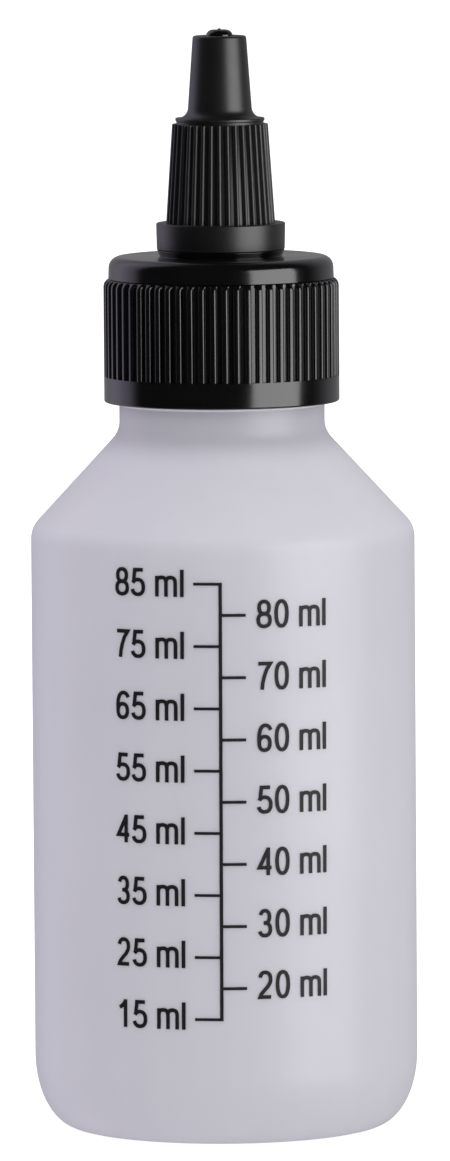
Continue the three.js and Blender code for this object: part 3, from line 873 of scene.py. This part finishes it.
class BOTTLE_OT_printed_scale(bpy.types.Operator):
    """Inks the scale's line and ticks and prints the millilitres beside them"""
    bl_idname = "bottle.printed_scale"
    bl_label = "Printed Scale"

    def execute(self, context):
        size = context.scene.print_sizes
        ink = printed_ink(context.scene.finishes)
        glyphs = {sign: self.glyph(sign, strokes, size) for sign, strokes in glyph_strokes().items()}
        first_tick = SCALE_LOW.z + SCALE_EDGE
        self.ladder(first_tick, SCALE_HIGH.z - SCALE_EDGE, ink, size)
        letters = []
        for i in range(size.ticks):
            left = (-size.left_edge if i % 2 == 0 else size.right_edge) + size.stroke / 2
            height = first_tick + size.label_rise + size.label_pitch * i - size.digit_height / 2
            tens, ones = str(size.first + size.step * i)
            places = ((tens, 0), (ones, size.digit_pitch), ("m", size.m_place), ("l", size.l_place))
            for sign, place in places:
                letter = glyphs[sign].copy()
                letter.data = glyphs[sign].data.copy()
                context.collection.objects.link(letter)
                letter.location = (left + place, 0, height)
                letters.append(letter)
        for pattern in glyphs.values():
            bpy.data.objects.remove(pattern)
        select_only(*letters)
        bpy.ops.object.transform_apply()
        numbers = joined(*letters)
        self.wrap(numbers, size)
        finished(numbers, "printed_numbers", ink, "bottle_body", "black_ink")
        return {"FINISHED"}

    def ladder(self, low, high, ink, size):
        """The upright line with its ticks, left and right in turn"""
        left, right = SCALE_LOW.x, SCALE_HIGH.x
        foot, top = low - size.tick_width / 2, high + size.tick_width / 2
        upright = [spot(0, foot + (top - foot) * i / LINE_STEPS) for i in range(LINE_STEPS + 1)]
        pieces = [self.stroke("scale_line", upright, size.line_width, size)]
        for i in range(size.ticks):
            height = low + (high - low) * i / (size.ticks - 1)
            end = left if i % 2 == 0 else right
            tick = [spot(end * (1 - j / TICK_STEPS), height) for j in range(TICK_STEPS + 1)]
            pieces.append(self.stroke(f"tick_{i}", tick, size.tick_width, size))
        ladder = joined(*pieces)
        self.wrap(ladder, size)
        finished(ladder, "printed_scale", ink, "bottle_body", "black_ink", "scale_ladder")

    def glyph(self, sign, strokes, size):
        """One flat sign from its strokes"""
        pieces = []
        for i, points in enumerate(strokes):
            points = [p * size.digit_height for p in points]
            pieces.append(self.stroke(f"sign_{sign}_{i}", points, size.stroke, size))
        return joined(*pieces)

    def stroke(self, name, points, width, size):
        """One stroke: its middle line is pulled into a ribbon and given its width"""
        piece = drawn(name, points)
        in_edit_mode(piece, "SELECT")
        bpy.ops.mesh.remove_doubles(threshold=MERGE_DISTANCE)
        bpy.ops.mesh.extrude_region_move(TRANSFORM_OT_translate={"value": (0, -size.ink, 0)})
        leave_edit_mode(piece)
        apply_modifier(piece, "SOLIDIFY", thickness=width, offset=0, use_even_offset=True)
        in_edit_mode(piece, "SELECT")
        bpy.ops.mesh.normals_make_consistent(inside=False)
        bpy.ops.transform.vertex_random(offset=size.unevenness, seed=len(points))
        leave_edit_mode(piece)
        return piece

    def wrap(self, numbers, size):
        """Sets the flat print a little crooked, as it was printed, and bends it round the wall"""
        radius = bpy.context.scene.bottle_sizes.body_radius + size.gap
        select_only(numbers)
        bpy.ops.transform.rotate(value=-size.lean, orient_axis="Y", orient_type="GLOBAL",
                                 center_override=(0, 0, (SCALE_LOW.z + SCALE_HIGH.z) / 2))
        bpy.ops.transform.translate(value=(size.nudge, 0, 0))
        bpy.ops.object.transform_apply()
        apply_modifier(numbers, "SIMPLE_DEFORM", deform_method="BEND", deform_axis="Z",
                       angle=numbers.dimensions.x / radius)
        numbers.location = (0, -radius, 0)
        bpy.ops.object.transform_apply()


# Liner

class BOTTLE_OT_liner(bpy.types.Operator):
    """Gives the hidden sealing washer its foam"""
    bl_idname = "bottle.liner"
    bl_label = "Liner"

    def execute(self, context):
        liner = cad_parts["cap_liner"]
        liner.data.materials.clear()
        liner.data.materials.append(white_foam(context.scene.finishes))
        return {"FINISHED"}


# Studio

class BOTTLE_OT_studio(bpy.types.Operator):
    """Sets up the pale floor, the soft lights and the camera"""
    bl_idname = "bottle.studio"
    bl_label = "Studio"

    def execute(self, context):
        studio = context.scene.studio_settings
        self.floor(studio)
        self.world(context.scene)
        self.camera(context.scene, studio)
        key = {"azimuth": math.radians(57), "low": -0.12, "width": 0.536, "height": 0.525}
        strip = self.softbox("key_strip", reach=0.55, power=2.3, **key)
        strip.visible_diffuse = False
        glow = self.softbox("key_glow", reach=0.56, power=0.62, **key)
        glow.visible_glossy = False
        self.overhead()
        context.scene.view_settings.view_transform = "Standard"
        return {"FINISHED"}

    def floor(self, studio):
        bpy.ops.mesh.primitive_circle_add(vertices=96, radius=studio.floor_radius, fill_type="NGON",
                                          location=(0, 0, 0))
        floor = bpy.context.object
        floor.name = "studio_floor"
        material, surface, start, place = new_material("pale_floor")
        fine = noise(start, place, scale=40, detail=2)
        feed(start, surface, Base_Color=blended(start, fine, opaque(studio.floor), (0.86, 0.86, 0.865, 1)),
             Roughness=0.9, Emission_Color=(1, 1, 1, 1), Emission_Strength=0.62)
        floor.data.materials.append(material)
        floor.visible_glossy = False
        floor.visible_diffuse = False
        floor.visible_shadow = False

    def world(self, scene):
        """White to the camera, bright behind the object and dark in front of it for reflections"""
        world = bpy.data.worlds.new("studio_air")
        scene.world = world
        world.use_nodes = True
        tree = world.node_tree
        tree.nodes.clear()
        start = Wire(tree)
        seen = start.add("ShaderNodeLightPath", output="Is Camera Ray")
        shiny = start.add("ShaderNodeLightPath", output="Is Glossy Ray")
        direction = start.add("ShaderNodeTexCoord", output="Generated")
        across, depth = along(start, direction, 0), along(start, direction, 1)
        backdrop = depth.between(0.15, 0.75)
        far_left = 1 - across.between(-0.6, -0.2)
        left_wall = (depth.between(-0.03, 0.25) - depth.between(0.45, 0.95)) * far_left
        mirrored = backdrop * 0.3 + left_wall * 0.52 + 0.008
        tint = blended(start, left_wall, (0.97, 0.95, 1.0, 1), (0.93, 0.85, 1.12, 1))
        white, soft = 1.2, 0.80
        strength = seen * white + (1 - seen) * (shiny * mirrored + (1 - shiny) * soft)
        background = start.add("ShaderNodeBackground", inputs={"Color": tint, "Strength": strength})
        start.plug(background, tree.nodes.new("ShaderNodeOutputWorld").inputs["Surface"])

    def softbox(self, name, azimuth, reach, low, width, height, power):
        """A flat light that faces the bottle's axis; azimuth 0 is in front, a quarter turn to the right"""
        place = Vector((reach * math.sin(azimuth), -reach * math.cos(azimuth), low + height / 2))
        light = self.area_light(name, place, width, height, power)
        light.rotation_euler = (math.pi / 2, 0, azimuth)
        return light

    def overhead(self):
        """A broad light above the bottle that only the matt surfaces show"""
        light = self.area_light("overhead_softbox", (0, 0.1, 1.3), 1.1, 1.1, 4.5)
        light.visible_glossy = False

    def area_light(self, name, place, width, height, power):
        """A flat light that the camera doesn't see"""
        bpy.ops.object.light_add(type="AREA", location=place)
        light = bpy.context.object
        light.name = name
        light.data.shape = "RECTANGLE"
        light.data.size = width
        light.data.size_y = height
        light.data.energy = power
        light.visible_camera = False
        return light

    def camera(self, scene, studio):
        turn = studio.camera_turn
        place = (studio.camera_reach * math.sin(turn), -studio.camera_reach * math.cos(turn),
                 studio.camera_height)
        bpy.ops.object.camera_add(location=place)
        camera = bpy.context.object
        camera.name = "photo_camera"
        camera.data.lens = studio.lens
        camera.data.sensor_width = 36
        camera.data.shift_x = studio.side_shift
        camera.data.clip_start = 0.01
        camera.data.clip_end = 20
        ahead = Vector((-math.sin(turn) * math.cos(studio.camera_dip),
                        math.cos(turn) * math.cos(studio.camera_dip), -math.sin(studio.camera_dip)))
        camera.rotation_euler = ahead.to_track_quat("-Z", "Y").to_euler()
        camera.rotation_euler.rotate_axis("Z", -studio.camera_roll)
        scene.camera = camera


class BOTTLE_PT_panel(bpy.types.Panel):
    """Lists the pieces of the applicator bottle"""
    bl_idname = "BOTTLE_PT_panel"
    bl_label = "Applicator Bottle"
    bl_space_type = "VIEW_3D"
    bl_region_type = "UI"
    bl_category = "Bottle"

    def draw(self, context):
        for operator in OPERATORS:
            self.layout.operator(operator.bl_idname)


OPERATORS = (BOTTLE_OT_body, BOTTLE_OT_screw_cap, BOTTLE_OT_twist_nozzle,
             BOTTLE_OT_printed_scale, BOTTLE_OT_liner, BOTTLE_OT_studio)
GROUPS = {
    "bottle_sizes": BottleSizes,
    "thread_sizes": ThreadSizes,
    "cap_sizes": CapSizes,
    "spout_sizes": SpoutSizes,
    "nozzle_sizes": NozzleSizes,
    "print_sizes": PrintSizes,
    "finishes": Finishes,
    "studio_settings": StudioSettings,
}


def register():
    for group in GROUPS.values():
        bpy.utils.register_class(group)
    for name, group in GROUPS.items():
        setattr(bpy.types.Scene, name, PointerProperty(type=group))
    for operator in OPERATORS:
        bpy.utils.register_class(operator)
    bpy.utils.register_class(BOTTLE_PT_panel)


def unregister():
    bpy.utils.unregister_class(BOTTLE_PT_panel)
    for operator in reversed(OPERATORS):
        bpy.utils.unregister_class(operator)
    for name, group in GROUPS.items():
        delattr(bpy.types.Scene, name)
        bpy.utils.unregister_class(group)


def main():
    register()
    bpy.ops.bottle.body()
    bpy.ops.bottle.screw_cap()
    bpy.ops.bottle.twist_nozzle()
    bpy.ops.bottle.printed_scale()
    bpy.ops.bottle.liner()
    bpy.ops.bottle.studio()
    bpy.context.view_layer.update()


if __name__ == "__main__":
    main()
